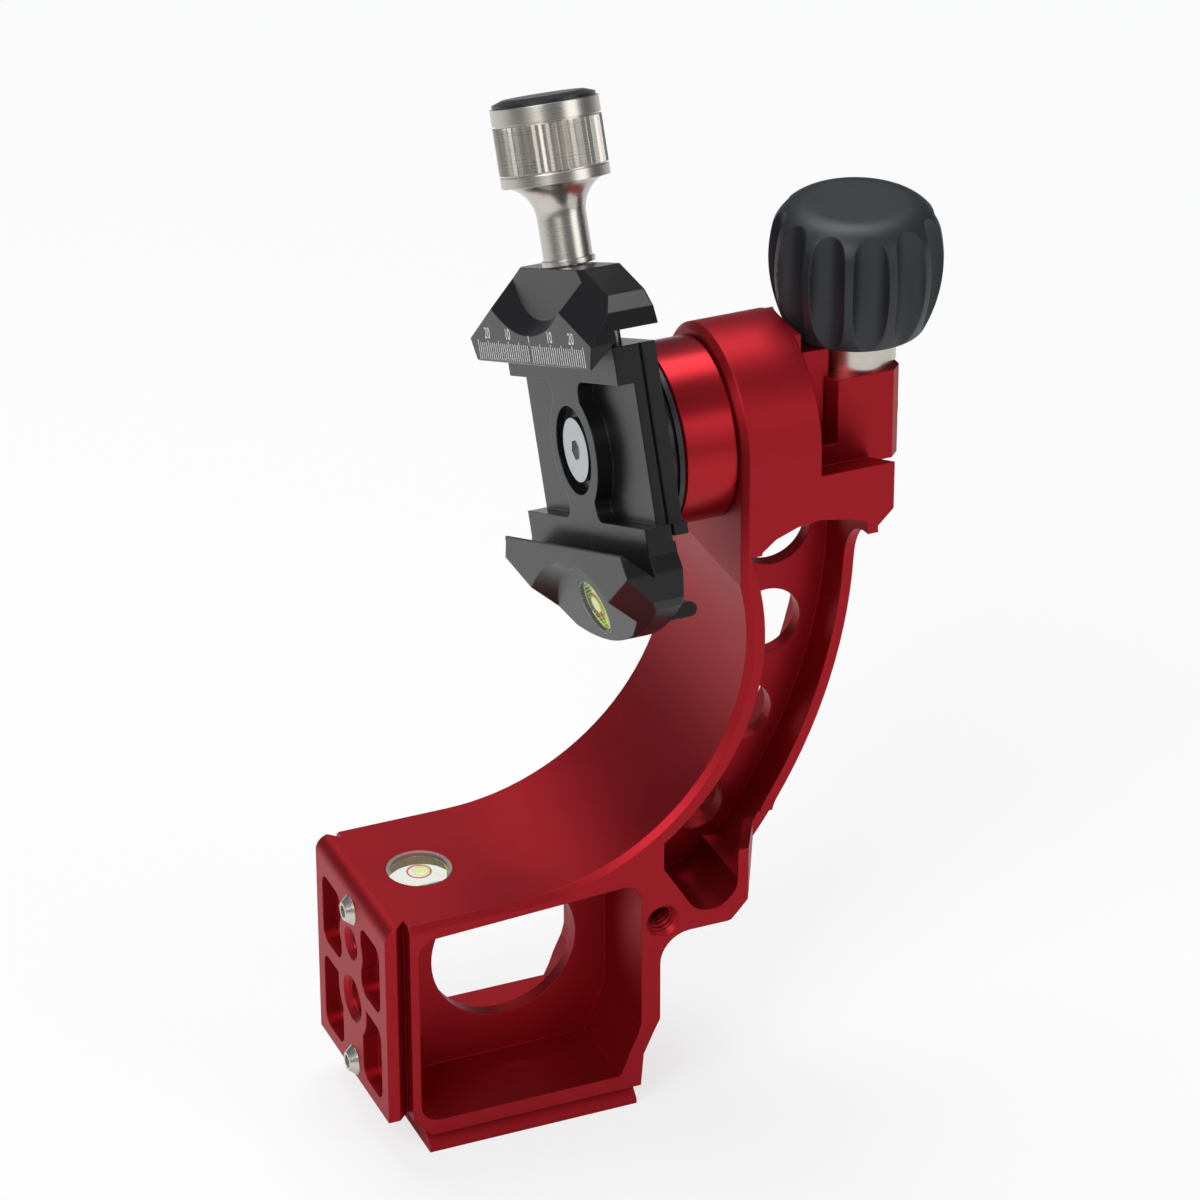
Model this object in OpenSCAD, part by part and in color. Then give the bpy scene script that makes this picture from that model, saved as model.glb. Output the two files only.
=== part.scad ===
/* [Base block] */
// Width of the machined arm across its two side faces
body_w = 40; // [39:0.5:44]
// Width of both clamping dovetails
dovetail_w = 38; // [37:0.5:38]
// Length of the bottom dovetail
foot_len = 44; // [42:0.5:45]
// Distance from the middle of the bottom dovetail to the end face
end_reach = 30.5; // [30:0.5:34]
// Height of the top of the base block
base_h = 53.3; // [52:0.1:54]
// Thickness of the outer lip of the bottom dovetail
lip_t = 1; // [0.8:0.1:1.4]
// Thickness of the outer lip of the end dovetail
end_lip_t = 2.4; // [2:0.1:2.6]
// Depth of the slanted undercut of both dovetails
undercut = 2.4; // [2.2:0.1:2.6]
// Thickness of the walls around the windows
rim_t = 3.4; // [3:0.1:3.8]
// Thickness of the web in the middle of the arm
web_t = 3; // [2.4:0.2:4]

/* [Arm] */
// Height of the tilt axis over the bottom dovetail
axis_h = 138.2; // [138:0.2:141]
// Radius of the hollow of the arm
arc_r = 47.7; // [47:0.1:48]
// Width of the slim outer flange
flange_w = 19; // [18:0.5:20]
// Thickness of the slim outer flange
flange_t = 2.2; // [2:0.1:2.6]
// Radius of the top lightening hole in the web
web_hole_r = 7.8; // [6.5:0.1:8]

/* [Tilt housing] */
// Radius of the rotating hub
hub_r = 17.7; // [16.5:0.1:18.4]
// Length of the rotating hub
hub_len = 10.8; // [10:0.1:12]
// Outer radius of the two ball bearings
bearing_r = 12; // [11.6:0.1:13]
// Width of each ball bearing
bearing_w = 5; // [4.6:0.1:5]
// Radius of the tilt shaft in the bearings
shaft_r = 7.5; // [7:0.1:7.8]
// Radius of the tail of the shaft under the brake
tail_r = 6; // [5.5:0.1:6.2]

/* [Lock knob] */
// Radius of the fluted lock knob
knob_r = 16.7; // [16:0.1:17.4]
// Height of the fluted lock knob
knob_h = 25.2; // [24:0.1:26]
// Number of flutes around the lock knob
flute_n = 12; // [8:1:12]
// Radius of the steel collar under the knob
collar_r = 8.1; // [7:0.1:8.4]
// Height of the steel collar
collar_h = 7.5; // [7:0.1:9]
// Radius of the lock stud
stud_r = 3; // [2.5:0.1:3.5]

/* [Clamp] */
// Tilt of the clamp from upright at rest
clamp_tilt = 23; // [0:1:30]
// Length of the clamp along its channel
clamp_len = 58; // [54:1:60]
// Thickness of the clamp body behind its floor
clamp_t = 8.5; // [8.3:0.1:9]
// Distance the jaws stand out in front of the floor
jaw_rise = 5.5; // [5.2:0.1:6]
// Length of the jaws at their widest
jaw_len = 65.6; // [64:0.2:68]
// Height of the moving jaw above the mouth of the channel
jaw_h = 17.4; // [17:0.1:19]
// Height of the fixed jaw below the mouth of the channel
low_jaw_h = 19.5; // [19:0.1:20]
// Gap between the moving jaw and the clamp body at rest
jaw_gap = 3.3; // [3:0.1:3.6]

/* [Clamp knob] */
// Radius of the knurled knob head
head_r = 10.4; // [9:0.1:10.6]
// Height of the knurled knob head
head_h = 15; // [13:0.5:15.5]
// Radius of the neck below the head
neck_r = 4.7; // [4.2:0.1:5.2]
// Number of knurls around the head
knurl_n = 48; // [30:2:60]

/* [Bubble levels] */
// Radius of the level in the base
base_level_r = 6.5; // [5:0.1:7]
// Radius of the level in the clamp
clamp_level_r = 5.8; // [5:0.1:5.9]

/* [Fasteners] */
// Radius of the heads of the stop screws
stop_r = 3.1; // [2.6:0.1:3.1]
// Height of the heads of the stop screws
stop_h = 1.5; // [1:0.1:2]
// Wall radius of the small tripod thread
small_thread_r = 2.65; // [2.4:0.05:2.9]
// Wall radius of the large tripod thread
large_thread_r = 4.1; // [3.8:0.05:4.3]

/* [Hidden] */
$fn = 64;
fit = 0.05;
air = 0.3;
over = 1;
bevel = 1.2;

// Base block
side_y = body_w / 2;
foot_x = foot_len / 2;
end_x = -end_reach;
block_x = end_x + end_lip_t + undercut;
block_x1 = 26.6;
foot_shoulder = 1.4;
foot_z = lip_t + undercut + foot_shoulder;
foot_step = 0.5;
foot_x1 = foot_x + foot_step;
flare_z = 19.5;
flare_drop = 7.5;
end_z = 9.2;
end_round = 3;
bay_wall = 1.7;
bay_wall_arm = 4;
bay_x0 = block_x + bay_wall;
bay_x1 = block_x1 - bay_wall_arm;
bay_z0 = 8;
bay_z1 = base_h - rim_t;
bay_round = 4;
bay_rise = 1.8;
window_r = 15.3;
window_x = 0.9;
window_z = 31.7;
side_hole_x = 27.1;
side_hole_z = 42;
side_hole_d = 14;
mouth_wide = 0.9;
small_hole_z = 39.6;
large_hole_z = 26.8;
thread_d = 10;
foot_thread_d = 7;
pad_w = 15;
pad_t = 5;
pad_z0 = 20;
pad_z1 = 46;
end_bay_d = 3.2;
end_bay_y0 = 5.4;
end_bay_y1 = 15.8;
end_bay_z = [[12.2, 28.5], [32, 47]];
end_bay_round = 2.6;
small_boss_r = 6.2;
large_boss_r = 7.6;
stop_edge_low = 3.2;
stop_edge_high = 6;
end_stop_z = [end_z + stop_edge_low, base_h - stop_edge_high];
foot_stop_edge = 5;
foot_stop_x = foot_x - foot_stop_edge;
stop_stem_r = 1.5;
stop_stem_d = 4.5;
hex_share = 0.45;
socket_share = 0.6;
stop_crown_share = 0.6;
level_inset = 14.5;
level_x = end_x + level_inset;
level_d = 5;
vial_wall = 0.8;

// Arm
barrel_x = 43.4;
arc_x = -2.9;
arc_z = base_h + arc_r;
pocket_r = arc_r + rim_t;
flange_r = 108.2;
flange_x = -36.4;
flange_rise = 12.7;
flange_z = arc_z + flange_rise;
toe_z = 38.7;
toe_round = 6.4;
toe_x = 45.3;
toe_corner = 4.8;
toe_spread = 5.7;
toe_t = 3.6;
toe_floor = toe_z + toe_t;
pocket_x0 = 27.3;
pocket_z0 = 53.9;
pocket_round = 5.6;
pocket_drop = 14;
pocket_top = axis_h - pocket_drop;
pocket_arch = 4.6;
relief_low = 54.5;
relief_round = 3;
relief_drop = 29.7;
relief_high = axis_h - relief_drop;
hole_reach = 60.3;
hole_swing = 1.3;
hole_a0 = 11.6;
hole_step = 19;
hole_shrink_share = 0.09;
hole_middle_share = 1.25;
hollow_top = arc_z + sqrt(pow(arc_r, 2) - pow(barrel_x - arc_x, 2));

// Housing
barrel_len = 16;
barrel_x1 = barrel_x + barrel_len;
housing_len = 15.4;
housing_x1 = barrel_x1 + housing_len;
housing_drop = 20.2;
housing_z0 = axis_h - housing_drop;
housing_corner = 5.6;
shelf_drop = 9;
shelf_z = axis_h - shelf_drop;
shelf_edge_drop = 4.6;
shelf_edge_z = axis_h - shelf_edge_drop;
bearing_inset = 2;
bearing_x = barrel_x + bearing_inset;
bearing_gap = 1.4;
rear_bearing_x = bearing_x + bearing_w + bearing_gap;
bearing_end = rear_bearing_x + bearing_w;
nut_t = 1.6;
nut_r = 9;
nut_room = 0.7;
nut_bay_r = nut_r + nut_room;
nut_bay_x1 = bearing_end + nut_t + nut_room;
retainer_t = 1.4;
retainer_r = 10;
ball_r = 1.3;
ball_n = 14;
race_t = 1.5;
pitch_r = (bearing_r + shaft_r) / 2;
shoulder_r = 8.8;
spacer_t = 1.2;

// Post and lock
post_rise = 8.9;
post_top = axis_h + post_rise;
knob_z0 = post_top + collar_h - air;
belly_r = 30;
belly_z = 13.4;
knob_round = 7;
relief_gap = 0.5;
relief_edge = 0.2;
relief_r = knob_side(axis_h + side_y - knob_z0) + relief_gap;
post_x = barrel_x1 + relief_r + relief_edge;
post_front = 9.3;
post_back = 6.3;
post_x0 = post_x - post_front;
post_x1 = post_x + post_back;
post_w = 17.8;
post_cut = 2;
bridge_w = 13;
bridge_x1 = post_x - collar_r - air;
plug_step = 1;
plug_r = tail_r + plug_step;
shoe_r = 4.2;
plug_t = post_back - shoe_r - air;
tail_x1 = post_x1 - plug_t - air;
shoe_gap = 0.3;
shoe_crown = 0.9;
shoe_top = axis_h + tail_r + shoe_crown;
spigot = 1.2;
cup_gap = 0.5;
knob_cup_r = collar_r + cup_gap;
knob_cup_d = 1.3;
flute_r = 3.6;
flute_depth = 3.1;
stud_in_knob = 12;

// Tilt stack
hub_x1 = barrel_x - air;
hub_x = hub_x1 - hub_len;
hub_wall = 2;
washer_t = 1;
ring_t = 2.4;
ring_step = 0.8;
ring_r = hub_r - ring_step;
adapter_t = 3.4;
adapter_step = 3;
adapter_r = hub_r - adapter_step;
back_x = hub_x - washer_t - ring_t - adapter_t;
floor_x = back_x - clamp_t;
screw_stem_r = 3;
screw_head_r = 6.2;
screw_head_h = 1.3;
screw_len = 28;
sink_r = 8.6;
sink_d = 1.7;
drive_share = 0.7;

// Clamp, drawn upright about the tilt axis
face_x = floor_x - jaw_rise;
grip_x = floor_x - air;
plate_t = 5.7;
plate_x = floor_x + plate_t;
mouth_inset = 1.7;
mouth_z = dovetail_w / 2 - mouth_inset;
lip_edge = 0.3;
land_inset = 5.6;
land_z = dovetail_w / 2 - land_inset;
body_rise = 3.2;
body_top = mouth_z + body_rise;
body_y = clamp_len / 2;
jaw_bottom = body_top + jaw_gap;
jaw_top = mouth_z + jaw_h;
jaw_low = mouth_z + low_jaw_h;
jaw_y = jaw_len / 2;
jaw_shares = [[0.93, 0], [1, 0.25], [0.945, 0.56], [0.85, 0.73], [0.52, 1]];
low_round = 57;
strip_share = 0.95;
facet_turn = 23;
facet_lean = 49.5;
bay_depth = 3.2;
bay_edge = 7;
bay_corner = 2.6;
boss_r = 11.7;
cover_drop = 2.2;
cover_z0 = land_z + cover_drop;
scoop_r = 37;
scoop_d = 4.1;
scoop_taper = 3;
band_h = 5.5;
low_band_h = 3.3;
wall_rise = 10.7;
wall_z = mouth_z + wall_rise;
wall_lean = 15.6;
level_edge = 0.9;
clamp_level_z = jaw_low - clamp_level_r - level_edge;
groove_w = 0.5;
groove_d = 0.6;
groove_x = plate_x - groove_w;
hook_y = 24;
hook_z = 32;
hook_h = 2.8;
hook_reach = 2.1;
hook_x = back_x + hook_reach;
screw_inset = 4.9;
screw_x = floor_x + screw_inset;
clamp_screw_r = 2.5;
clamp_screw_z = 11;
screw_bore_z = 8;
pin_r = 1.5;
pin_y = 19;
pin_inset = 4.2;
pin_x = floor_x + pin_inset;
pin_cover = 1.1;
pin_z0 = land_z + pin_cover;
pin_reach = 5;
pin_top = jaw_bottom + pin_reach;
pin_roof = 2.4;
pin_bore_top = jaw_top - pin_roof;
neck_ring_h = 1;
neck_step = 0.4;
neck_z = jaw_top + air + neck_ring_h;
neck_len = 14.7;
head_z = neck_z + neck_len;
flare_round = 7;
flare_h = 6.6;
knurl_z0 = 2.4;
knurl_h = 9;
knurl_d = 0.5;
cap_h = 1.4;
cap_edge = 0.5;
cap_r = head_r - cap_edge;
cap_crown_share = 0.8;

// Radius of the knob's barrel-shaped side at a height over its underside
function knob_side(z) = knob_r - belly_r + sqrt(pow(belly_r, 2) - pow(z - belly_z, 2));

module tilted() {
    translate([0, 0, axis_h]) rotate([-clamp_tilt, 0, 0]) children();
}

// A cylinder along X that starts at x
module rod(x, len, r) {
    translate([x, 0, 0]) rotate([0, 90, 0]) cylinder(h = len, r = r);
}

module ring(x, len, r_out, r_in) {
    difference() {
        rod(x, len, r_out);
        rod(x - over, len + 2 * over, r_in);
    }
}

// An outline in X and Z, extruded across the middle plane
module slab(w) {
    rotate([90, 0, 0]) translate([0, 0, -w / 2]) linear_extrude(w) children();
}

// An outline in X and Z, cut from one distance to beyond the side face, on both sides
module side_cut(y0) {
    for (s = [0, 1]) mirror([0, s, 0]) translate([0, side_y + over, 0])
        rotate([90, 0, 0]) linear_extrude(side_y + over - y0) children();
}

// An outline in Y and Z, extruded along X
module along(x, len) {
    translate([x, 0, 0]) rotate([90, 0, 90]) linear_extrude(len) children();
}

module round_box(x0, x1, z0, z1, r) {
    translate([x0 + r, z0]) square([x1 - x0 - 2 * r, z1 - z0]);
    translate([x0, z0 + r]) square([x1 - x0, z1 - z0 - 2 * r]);
    for (x = [x0 + r, x1 - r], z = [z0 + r, z1 - r]) translate([x, z]) circle(r = r);
}

module base_outline() {
    polygon([
        [block_x, end_z], [-foot_x, foot_z], [foot_x1, foot_z],
        [foot_x1 + bevel / 2, flare_z - flare_drop], [block_x1 - bevel, flare_z - bevel * 2],
        [block_x1, flare_z], [block_x1, base_h], [block_x, base_h]
    ]);
}

module toe_fillet() {
    difference() {
        translate([block_x1 - over, toe_z - toe_round]) square([toe_round + over, toe_round + over]);
        translate([block_x1 + toe_round, toe_z - toe_round]) circle(r = toe_round);
    }
}

module blade_outline() {
    corner = [toe_x - toe_corner, toe_z + toe_corner];
    difference() {
        intersection() {
            translate([flange_x, flange_z]) circle(r = flange_r, $fn = 256);
            union() {
                polygon([
                    [arc_x, base_h], [block_x1 - rim_t, toe_z], [corner[0], toe_z], corner,
                    [toe_x, corner[1]], [toe_x + flange_r, corner[1]],
                    [toe_x + flange_r, housing_z0 + rim_t], [barrel_x, housing_z0 + rim_t],
                    [barrel_x, hollow_top], [arc_x, arc_z]
                ]);
                translate(corner) circle(r = toe_corner);
            }
        }
        translate([arc_x, arc_z]) circle(r = arc_r, $fn = 256);
    }
}

module housing_outline() {
    difference() {
        polygon([
            [barrel_x, axis_h], [barrel_x, arc_z + bevel], [housing_x1 - housing_corner, housing_z0],
            [housing_x1, housing_z0 + housing_corner], [housing_x1, shelf_edge_z], [barrel_x1, shelf_edge_z],
            [barrel_x1, axis_h]
        ]);
        translate([arc_x, arc_z]) circle(r = arc_r, $fn = 256);
    }
}

module bay_outline() {
    difference() {
        union() {
            round_box(bay_x0, bay_x1, bay_z0, bay_z1, bay_round);
            translate([bay_x1 - bay_round, bay_z1 + bay_rise - bay_round]) circle(r = bay_round);
            polygon([
                [bay_x0 + bay_round, bay_z1], [bay_x1 - bay_round, bay_z1 + bay_rise],
                [bay_x1 - bay_round, bay_z1 - bay_round], [bay_x0 + bay_round, bay_z1 - bay_round]
            ]);
            translate([bay_x1 - bay_round, bay_z1 - 2 * bay_round]) square([bay_round, bay_round + bay_rise]);
        }
        polygon([
            [bay_x1 - bay_round - over, bay_z0 - over], [bay_x1 - bay_round + bevel / 2, bay_z0 + bevel * 2],
            [bay_x1 - bevel * 2, flare_z - flare_drop + bevel], [bay_x1 - bevel / 2, flare_z - bevel * 2],
            [bay_x1, flare_z], [bay_x1 + over, bay_z0 - over]
        ]);
    }
}

// Rounded at the toe, where a straight edge runs on to the tangent of the round
module pocket_outline() {
    toe = [toe_x - flange_t - pocket_round, toe_floor + pocket_round];
    away = [pocket_x0, pocket_z0] - toe;
    turn = atan2(away[1], away[0]) + acos(pocket_round / norm(away));
    difference() {
        intersection() {
            translate([flange_x, flange_z]) circle(r = flange_r - flange_t, $fn = 256);
            union() {
                polygon([
                    [pocket_x0, pocket_z0], toe + pocket_round * [cos(turn), sin(turn)], toe,
                    [housing_x1, toe[1]], [housing_x1, pocket_top - pocket_arch],
                    [housing_x1 - pocket_arch * 2, pocket_top - pocket_arch / 4],
                    [barrel_x1, pocket_top], [barrel_x1 - pocket_arch, pocket_top - pocket_arch / 8],
                    [barrel_x1 - pocket_arch * 2, pocket_top - pocket_arch / 2],
                    [barrel_x + rim_t + bevel / 2, pocket_top - pocket_arch],
                    [barrel_x + rim_t - bevel, arc_z], [pocket_x0, arc_z - arc_r / 2]
                ]);
                translate(toe) circle(r = pocket_round);
            }
        }
        translate([arc_x, arc_z]) circle(r = pocket_r, $fn = 256);
    }
}

// The wall of the toe runs aslant from the side face to the slim flange
module toe_wall() {
    for (s = [0, 1]) mirror([0, s, 0]) translate([0, 0, toe_z]) linear_extrude(relief_low - toe_z)
        polygon([
            [toe_x - flange_t, side_y + over], [toe_x, side_y + over], [toe_x, side_y],
            [toe_x + toe_spread, flange_w / 2], [toe_x + toe_spread - flange_t, flange_w / 2],
            [toe_x - flange_t, side_y]
        ]);
}

// What the slim flange leaves free at both sides of the arm
module side_relief() {
    inner = flange_w / 2;
    deep = side_y - inner;
    for (s = [0, 1]) mirror([0, s, 0]) {
        difference() {
            along(pocket_x0 + toe_round, housing_x1) {
                translate([inner + relief_round, relief_low]) square([deep, 2 * relief_round]);
                translate([inner + relief_round, relief_low + relief_round]) circle(r = relief_round);
                translate([inner, relief_low + relief_round])
                    square([deep + over, relief_high - relief_low - relief_round]);
                translate([side_y, relief_high]) circle(r = deep);
            }
            translate([arc_x, 0, arc_z]) rotate([90, 0, 0])
                cylinder(h = 2 * (side_y + over), r = pocket_r, center = true, $fn = 256);
        }
        translate([0, 0, toe_z - over]) linear_extrude(relief_low + 2 * over - toe_z) polygon([
            [toe_x, side_y + over], [toe_x, side_y], [toe_x + toe_spread, inner],
            [toe_x + flange_r, inner], [toe_x + flange_r, side_y + over]
        ]);
    }
}

module web_holes() {
    for (k = [0:3]) rotate([0, 0, hole_a0 - k * hole_step])
        translate([hole_reach + hole_swing * pow(k - hole_middle_share, 2), 0])
            circle(r = web_hole_r * (1 - hole_shrink_share * k));
}

module edge_bevels() {
    for (s = [0, 1]) mirror([0, s, 0]) {
        translate([arc_x, side_y - bevel, arc_z]) rotate([-90, 0, 0])
            cylinder(h = bevel, r1 = arc_r, r2 = arc_r + bevel, $fn = 256);
        along(block_x - over, arc_x - block_x + over)
            polygon([[side_y, base_h - bevel], [side_y - bevel, base_h], [side_y, base_h]]);
        translate([barrel_x, side_y, arc_z]) linear_extrude(axis_h - arc_z)
            polygon([[0, 0], [bevel, 0], [0, -bevel]]);
    }
}

module end_dovetail() {
    wide = dovetail_w / 2;
    intersection() {
        translate([0, 0, end_z]) linear_extrude(base_h - end_z) polygon([
            [end_x, -wide], [end_x + end_lip_t, -wide], [block_x, undercut - wide],
            [block_x + over, undercut - wide], [block_x + over, wide - undercut],
            [block_x, wide - undercut], [end_x + end_lip_t, wide], [end_x, wide]
        ]);
        slab(body_w) union() {
            translate([end_x + end_round, end_z]) square([end_reach, base_h - end_z]);
            translate([end_x, end_z]) square([end_reach, base_h - end_z - end_round]);
            translate([end_x + end_round, base_h - end_round]) circle(r = end_round);
        }
    }
}

module foot_dovetail() {
    wide = dovetail_w / 2;
    along(-foot_x, foot_len) polygon([
        [-wide, 0], [wide, 0], [wide, lip_t], [wide - undercut, lip_t + undercut],
        [wide - undercut, foot_z + over], [undercut - wide, foot_z + over],
        [undercut - wide, lip_t + undercut], [-wide, lip_t]
    ]);
}

module end_bays() {
    for (s = [0, 1], z = end_bay_z) mirror([0, s, 0]) difference() {
        along(end_x - over, end_bay_d + over)
            round_box(end_bay_y0, end_bay_y1, z[0], z[1], end_bay_round);
        translate([0, 0, small_hole_z]) rod(end_x - over, end_bay_d + 2 * over, small_boss_r);
        translate([0, 0, large_hole_z]) rod(end_x - over, end_bay_d + 2 * over, large_boss_r);
    }
}

module post_block() {
    half = post_w / 2;
    translate([0, 0, shelf_z - over]) linear_extrude(post_top - shelf_z + over) polygon([
        [post_x0, post_cut - half], [post_x0 + post_cut, -half], [post_x1 - post_cut, -half],
        [post_x1, post_cut - half], [post_x1, half - post_cut], [post_x1 - post_cut, half],
        [post_x0 + post_cut, half], [post_x0, half - post_cut]
    ]);
    intersection() {
        translate([0, 0, axis_h]) rod(barrel_x1 - over, bridge_x1 - barrel_x1 + over, side_y);
        slab(bridge_w) translate([barrel_x1 - over, shelf_z - over]) square([post_x1, side_y * 2]);
    }
    slab(post_w - 2 * post_cut) polygon([
        [housing_x1 - over, housing_z0 + housing_corner], [housing_x1, housing_z0 + housing_corner],
        [post_x1 - bevel, shelf_z], [post_x1, shelf_edge_z + bevel], [housing_x1 - over, shelf_edge_z + bevel]
    ]);
}

// The trough at both sides of the post and the hollow below the lock knob
module lock_relief() {
    for (s = [0, 1]) mirror([0, s, 0]) along(barrel_x1, housing_x1 - barrel_x1 + over)
        polygon([
            [post_w / 2, shelf_z], [side_y, shelf_edge_z], [side_y + over, shelf_edge_z],
            [side_y + over, axis_h], [post_w / 2, axis_h]
        ]);
    translate([post_x, 0, knob_z0 - bevel]) cylinder(h = side_y, r = relief_r);
}

module arm() {
    color("firebrick") difference() {
        union() {
            slab(body_w) union() {
                base_outline();
                toe_fillet();
                blade_outline();
                housing_outline();
            }
            end_dovetail();
            foot_dovetail();
            translate([0, 0, axis_h]) {
                translate([barrel_x, 0, 0]) rotate([0, 90, 0])
                    cylinder(h = bevel, r1 = side_y - bevel, r2 = side_y);
                rod(barrel_x + bevel, barrel_x1 - barrel_x - bevel, side_y);
            }
            post_block();
        }
        difference() {
            side_cut(web_t / 2) bay_outline();
            along(block_x, bay_x0 - block_x + pad_t)
                translate([-pad_w / 2, pad_z0]) square([pad_w, pad_z1 - pad_z0]);
        }
        slab(web_t + over) translate([window_x, window_z]) circle(r = window_r);
        difference() {
            side_cut(web_t / 2) pocket_outline();
            toe_wall();
        }
        side_relief();
        slab(web_t + over) translate([arc_x, arc_z]) web_holes();
        edge_bevels();
        lock_relief();
        end_bays();
        translate([0, 0, small_hole_z]) {
            rod(end_x - over, thread_d + over, small_thread_r);
            translate([end_x, 0, 0]) rotate([0, 90, 0])
                cylinder(h = mouth_wide, r1 = small_thread_r + mouth_wide, r2 = small_thread_r);
        }
        translate([0, 0, large_hole_z]) {
            rod(end_x - over, thread_d + over, large_thread_r);
            translate([end_x, 0, 0]) rotate([0, 90, 0])
                cylinder(h = mouth_wide, r1 = large_thread_r + mouth_wide, r2 = large_thread_r);
        }
        for (z = end_stop_z) translate([0, 0, z]) rod(end_x - over, stop_stem_d + over, stop_stem_r);
        for (x = [-foot_stop_x, foot_stop_x]) translate([x, 0, -over])
            cylinder(h = stop_stem_d + over + stop_h, r = stop_stem_r);
        for (x = [-foot_stop_x, foot_stop_x]) translate([x, 0, -over])
            cylinder(h = over + stop_h, r = stop_r + air);
        translate([0, 0, -over]) cylinder(h = foot_thread_d + over, r = large_thread_r);
        translate([side_hole_x, -side_y - over, side_hole_z]) rotate([-90, 0, 0])
            cylinder(h = side_hole_d + over, r = small_thread_r);
        translate([side_hole_x, -side_y, side_hole_z]) rotate([-90, 0, 0])
            cylinder(h = mouth_wide, r1 = small_thread_r + mouth_wide, r2 = small_thread_r);
        translate([level_x, 0, base_h - level_d]) cylinder(h = level_d + over, r = base_level_r);
        translate([0, 0, axis_h]) {
            rod(barrel_x - over, bearing_end - barrel_x + over, bearing_r);
            rod(barrel_x, nut_bay_x1 - barrel_x, nut_bay_r);
            rod(barrel_x, post_x1 - barrel_x, tail_r + fit);
            rod(post_x1 - plug_t, plug_t + over, plug_r);
        }
        translate([post_x, 0, axis_h]) cylinder(h = post_top - axis_h + over, r = shoe_r + fit);
    }
}

module vial(r, d) {
    difference() {
        cylinder(h = d, r = r);
        translate([0, 0, vial_wall]) cylinder(h = d - 2 * vial_wall, r = r - vial_wall);
    }
}

module liquid(r, d) {
    translate([0, 0, vial_wall]) cylinder(h = d - 2 * vial_wall, r = r - vial_wall);
}

module base_vial() {
    color("lightcyan") translate([level_x, 0, base_h - level_d]) vial(base_level_r, level_d);
}

module base_liquid() {
    color("greenyellow") translate([level_x, 0, base_h - level_d]) liquid(base_level_r, level_d);
}

// A button screw that points along X, with its head at x
module end_stop(z) {
    color("silver") translate([0, 0, z]) difference() {
        union() {
            rod(end_x, stop_stem_d - air, stop_stem_r);
            translate([end_x - stop_h, 0, 0]) rotate([0, 90, 0])
                cylinder(h = stop_h, r1 = stop_r * stop_crown_share, r2 = stop_r);
        }
        rod(end_x - stop_h - over, stop_h * socket_share + over, stop_r * hex_share, $fn = 6);
    }
}

module foot_stop(x) {
    color("silver") translate([x, 0, fit]) difference() {
        union() {
            cylinder(h = stop_stem_d + stop_h - air, r = stop_stem_r);
            cylinder(h = stop_h - fit, r = stop_r);
        }
        translate([0, 0, -over]) cylinder(h = stop_h * socket_share + over, r = stop_r * hex_share, $fn = 6);
    }
}

module hub() {
    color("firebrick") translate([0, 0, axis_h]) difference() {
        union() {
            translate([hub_x, 0, 0]) rotate([0, 90, 0])
                cylinder(h = bevel / 2, r1 = hub_r - bevel / 2, r2 = hub_r);
            rod(hub_x + bevel / 2, hub_len - bevel / 2, hub_r);
        }
        rod(hub_x + hub_wall, hub_len, shaft_r);
        rod(hub_x - over, hub_len, screw_stem_r);
    }
}

module hub_washer() {
    color("black") translate([0, 0, axis_h]) ring(hub_x - washer_t, washer_t, hub_r, screw_stem_r);
}

module friction_ring() {
    color("silver") translate([0, 0, axis_h])
        ring(hub_x - washer_t - ring_t, ring_t, ring_r, screw_stem_r);
}

module adapter_disc() {
    color("dimgray") translate([0, 0, axis_h]) ring(back_x, adapter_t, adapter_r, screw_stem_r);
}

module tilt_shaft() {
    color("silver") translate([0, 0, axis_h]) difference() {
        union() {
            rod(hub_x + hub_wall, bearing_end + nut_t - hub_x - hub_wall, shaft_r);
            rod(hub_x1, bearing_x - hub_x1, shoulder_r);
            rod(bearing_end, tail_x1 - bearing_end, tail_r);
        }
        rod(hub_x, screw_head_r + screw_len / 2, screw_stem_r);
    }
}

module shaft_nut() {
    color("silver") translate([0, 0, axis_h]) ring(bearing_end, nut_t, nut_r, shaft_r);
}

module centre_screw() {
    head_x = floor_x + sink_d - screw_head_h;
    color("silver") translate([0, 0, axis_h]) difference() {
        union() {
            rod(head_x, screw_head_h, screw_head_r);
            rod(head_x, screw_len, screw_stem_r);
        }
        rod(head_x - over, screw_head_h + over, screw_stem_r * drive_share, $fn = 6);
    }
}

module outer_race(x) {
    color("gray") translate([0, 0, axis_h]) difference() {
        ring(x, bearing_w, bearing_r, bearing_r - race_t);
        translate([x + bearing_w / 2, 0, 0]) rotate([0, 90, 0]) rotate_extrude()
            translate([pitch_r, 0]) circle(r = ball_r);
    }
}

module inner_race(x) {
    color("gray") translate([0, 0, axis_h]) difference() {
        ring(x, bearing_w, shaft_r + race_t, shaft_r);
        translate([x + bearing_w / 2, 0, 0]) rotate([0, 90, 0]) rotate_extrude()
            translate([pitch_r, 0]) circle(r = ball_r + fit);
    }
}

module balls(x) {
    color("silver") translate([x + bearing_w / 2, 0, axis_h])
        for (k = [0:ball_n - 1]) rotate([k * 360 / ball_n, 0, 0])
            translate([0, 0, pitch_r]) sphere(r = ball_r, $fn = 24);
}

module inner_spacer() {
    color("gray") translate([0, 0, axis_h])
        ring(bearing_x + bearing_w, bearing_gap, shaft_r + spacer_t, shaft_r);
}

module outer_spacer() {
    color("gray") translate([0, 0, axis_h])
        ring(bearing_x + bearing_w, bearing_gap, bearing_r, bearing_r - spacer_t);
}

module bearing_retainer() {
    color("dimgray") translate([0, 0, axis_h])
        ring(bearing_x - retainer_t, retainer_t, bearing_r, retainer_r);
}

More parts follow.
